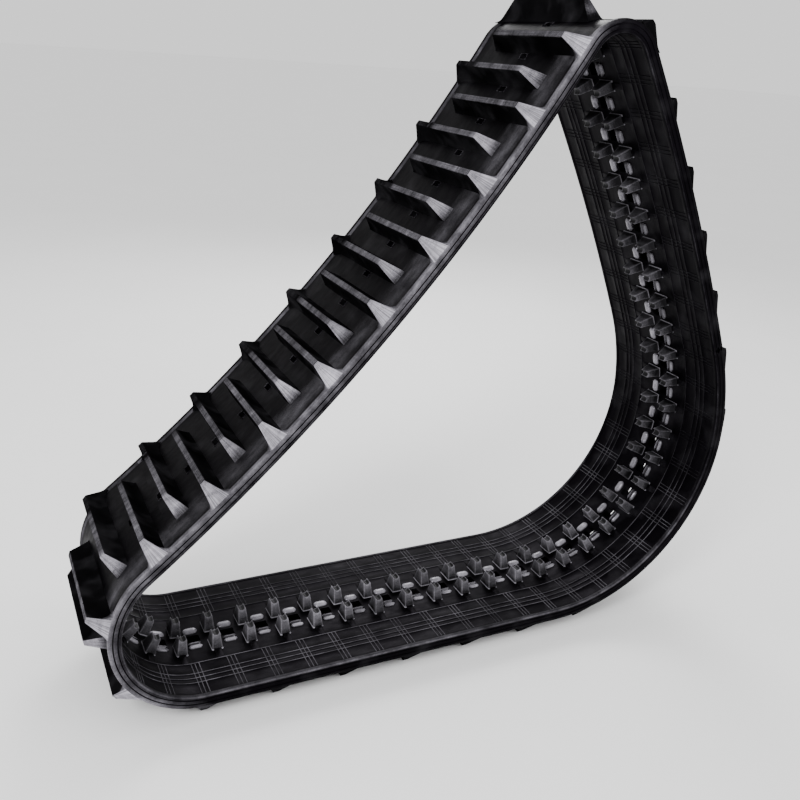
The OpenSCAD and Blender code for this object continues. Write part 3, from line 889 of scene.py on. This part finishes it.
def rounded(half_x, half_y, radius):
    """Points round a rectangle with rounded corners."""
    points = []
    for cx, cy, start in ((1, 1, 0), (-1, 1, 90), (-1, -1, 180), (1, -1, 270)):
        x, y = cx * (half_x - radius), cy * (half_y - radius)
        for i in range(CORNER_STEPS + 1):
            a = math.radians(start + 90 * i / CORNER_STEPS)
            points.append((x + radius * math.cos(a), y + radius * math.sin(a)))
        if cx == cy:
            points += [(x * share, cy * half_y) for share in ALONG_X]
        else:
            points += [(cx * half_x, y * share) for share in ALONG_Y]
    return points


def horn_template():
    """Points, tones and faces of the horn of link 0 on the far side."""
    centre = (HORN_IN + HORN_OUT) / 2
    half_y = (HORN_OUT - HORN_IN) / 2
    points, tones = [], []
    for z, grow, radius, tone in HORN_LEVELS:
        t = limited((z - HORN_FOOT_Z) / (HORN_TOP - HORN_FOOT_Z))
        hx = HORN_HALF_LEN - HORN_DRAFT * t + grow
        hy = half_y - HORN_LEAN * t + grow
        outline = rounded(hx, hy, radius)
        for x, y in outline:
            points.append((x, y, z))
            corner = smooth(hx - 3, hx - 1, abs(x)) * smooth(hy - 3, hy - 1, abs(y))
            tones.append(tone + CORNER_TONE * corner if z > HORN_FOOT_Z else tone)
    ring = len(outline)
    last = points[-ring:]
    for share in TOP_RINGS:
        points += [(x * share, y * share, z) for x, y, z in last]
        tones += [TOP_TONE] * ring
    dipped = []
    for x, y, z in points:
        inside = max(0.0, NOTCH_R ** 2 - x * x)
        dip = max(0.0, math.sqrt(inside) - (NOTCH_R - NOTCH_DEPTH))
        dipped.append((x, centre + y, z - dip * smooth(NOTCH_FROM, HORN_TOP, z)))
    return np.array(dipped), np.array(tones), ring_faces(len(points) // ring, ring)


HORN_POINTS, HORN_TONES, HORN_FACES = horn_template()


def horn(mesh, k, side):
    """One guide horn; on the front and top spans it has less dust."""
    points = HORN_POINTS * [1, side, 1]
    faces = HORN_FACES if side > 0 else flipped(HORN_FACES)
    s = k * PITCH + HORN_AT
    tone = HORN_TONES * (0.85 + 0.3 * hash01(k, side, 7)) * (0.4 + 0.6 * lines_at(s))
    mesh.add(on_link(points, s), faces, points + [s, 0, 0], tone)


# ---------------------------------------------------------------- link pads
# Radius of a pad, half length of its straight part, its middle across the belt, and its seat
PAD_R, PAD_END, PAD_Y, PAD_SEAT = 13.0, 8.0, 31.0, 8.5
PAD_AROUND, PAD_UP = 36, 9
GROOVE_HALF, GROOVE_DEPTH, GROOVE_EDGE = 3.6, 6.0, 1.6
# Painted highlights: pale tone on the rims beside the groove and on the capsule's top, over a faint
# even pale tone
GROOVE_RIM_HIGHLIGHT, PAD_FOOT_TONE, PAD_TOP_HIGHLIGHT = 0.62, 0.05, 0.8


def pad_template(grooved):
    """Points and tones of a half capsule, which may have a groove along its top; the tones paint
    highlights on its top or on the groove's rims.
    """
    points, tones = [], []
    for level in range(PAD_UP + 1):
        # The last ring stops short of the top, and a flat face closes it
        tilt = math.radians(90 * level / (PAD_UP + 0.6))
        for i in range(PAD_AROUND):
            a = 2 * math.pi * (i + 0.5) / PAD_AROUND
            x = PAD_R * math.cos(tilt) * math.cos(a) + math.copysign(PAD_END, math.cos(a))
            y = PAD_R * math.cos(tilt) * math.sin(a)
            z = PAD_R * math.sin(tilt)
            if grooved:
                z -= GROOVE_DEPTH * smooth(0.0, 1.0, 1.35 - abs(y) / GROOVE_HALF) * smooth(2, 9, z)
                beside = smooth(GROOVE_HALF, GROOVE_HALF + GROOVE_EDGE, abs(y))
                tone = GROOVE_RIM_HIGHLIGHT * beside * smooth(4, 9, z)
            else:
                tone = PAD_FOOT_TONE + PAD_TOP_HIGHLIGHT * smooth(4, 11, z)
            points.append((x, y, PAD_SEAT + z))
            tones.append(tone)
    return np.array(points), np.array(tones)


PAD_FACES = ring_faces(PAD_UP + 1, PAD_AROUND)
# The pads on the near side are grooved
PADS = {1: pad_template(False), -1: pad_template(True)}


def pad(mesh, k, side):
    """One link pad; on the front and top spans its painted highlight is weaker."""
    points, tones = PADS[side]
    points = points + [0, side * PAD_Y, 0]
    s = k * PITCH + PAD_AT
    tones = tones * (0.6 + 0.4 * lines_at(s))
    mesh.add(on_link(points, s), PAD_FACES, points + [s, 0, 0], tones)


for section, (first_link, last_link) in SECTION_LINKS.items():
    for kind, maker, material, replaced, slot in (
        ("horn_set", horn, horn_rubber, "horn_caps", "horn_rubber"),
        ("pad_set", pad, pad_rubber, "link_pads", "pad_rubber"),
    ):
        mesh = Mesh()
        for k in range(first_link, last_link + 1):
            for side in (-1, 1):
                maker(mesh, k, side)
        piece = mesh.build(f"{kind}_{section}", material, HORN_PAD_SHARP)
        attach(piece, f"{section}_section")
        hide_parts(f"{replaced}_{section}")

# ---------------------------------------------------------------- floor, light and camera
FLOOR_HALF = 80.0
WORLD_STRENGTH = 1.15


def floor_material():
    """A plain pale floor."""
    m = Nodes("studio_floor")
    where = m.make("ShaderNodeTexCoord").outputs["Object"]
    cloud = m.noise(where, 1.5, 3.0)
    m.to("Base Color", m.mix(cloud, grey(0.92), grey(0.96)))
    m.to("Roughness", m.spread(cloud, 0.7, 0.85))
    m.bump((m.noise(where, 300.0, 2.0), 0.03, 0.0005))
    return m.material


floor_mesh = bpy.data.meshes.new("studio_floor")
CORNER_SIGNS = ((-1, -1), (1, -1), (1, 1), (-1, 1))
floor_corners = [(x * FLOOR_HALF, y * FLOOR_HALF, 0) for x, y in CORNER_SIGNS]
floor_mesh.from_pydata(floor_corners, [], [(0, 1, 2, 3)])
floor = bpy.data.objects.new("studio_floor", floor_mesh)
floor_mesh.materials.append(floor_material())
bpy.context.scene.collection.objects.link(floor)

world = bpy.data.worlds.new("studio")
world.use_nodes = True
background = world.node_tree.nodes["Background"]
background.inputs["Color"].default_value = (1.0, 1.0, 1.0, 1.0)
background.inputs["Strength"].default_value = WORLD_STRENGTH
bpy.context.scene.world = world


def area_light(name, at, towards, size, power):
    """A round soft light, size in metres and power in watts."""
    light = bpy.data.lights.new(name, "AREA")
    light.shape = "DISK"
    light.size = size
    light.energy = power
    obj = bpy.data.objects.new(name, light)
    obj.location = at
    direction = Vector(towards) - Vector(at)
    obj.rotation_euler = direction.to_track_quat("-Z", "Y").to_euler()
    bpy.context.scene.collection.objects.link(obj)


CENTRE = (0.0, 0.0, 0.7)
area_light("key_light", (-3.2, -2.6, 3.4), CENTRE, 1.6, 190.0)
area_light("fill_light", (2.6, -3.4, 2.2), CENTRE, 2.4, 60.0)
area_light("back_light", (1.5, 3.2, 3.2), CENTRE, 2.0, 110.0)

# The camera at the photograph's viewing angle, rolled a little as in the photograph
LENS, SENSOR = 40.16, 36.0
CAMERA_AT = (-1.04972, -1.90431, 1.50551)
AZIMUTH, PITCH_DOWN, ROLL = (math.radians(a) for a in (27.1427, 21.2886, 4.1952))

camera_data = bpy.data.cameras.new("camera")
camera_data.sensor_width = SENSOR
camera_data.lens = LENS
camera = bpy.data.objects.new("camera", camera_data)
forward = Vector((
    math.sin(AZIMUTH) * math.cos(PITCH_DOWN),
    math.cos(AZIMUTH) * math.cos(PITCH_DOWN),
    -math.sin(PITCH_DOWN),
))
level = forward.cross(Vector((0, 0, 1))).normalized()
upright = level.cross(forward)
right = level * math.cos(ROLL) + upright * math.sin(ROLL)
up = right.cross(forward)
matrix = Matrix((right, up, -forward)).transposed().to_4x4()
matrix.translation = Vector(CAMERA_AT)
camera.matrix_world = matrix
bpy.context.scene.collection.objects.link(camera)
bpy.context.scene.camera = camera

bpy.context.view_layer.update()
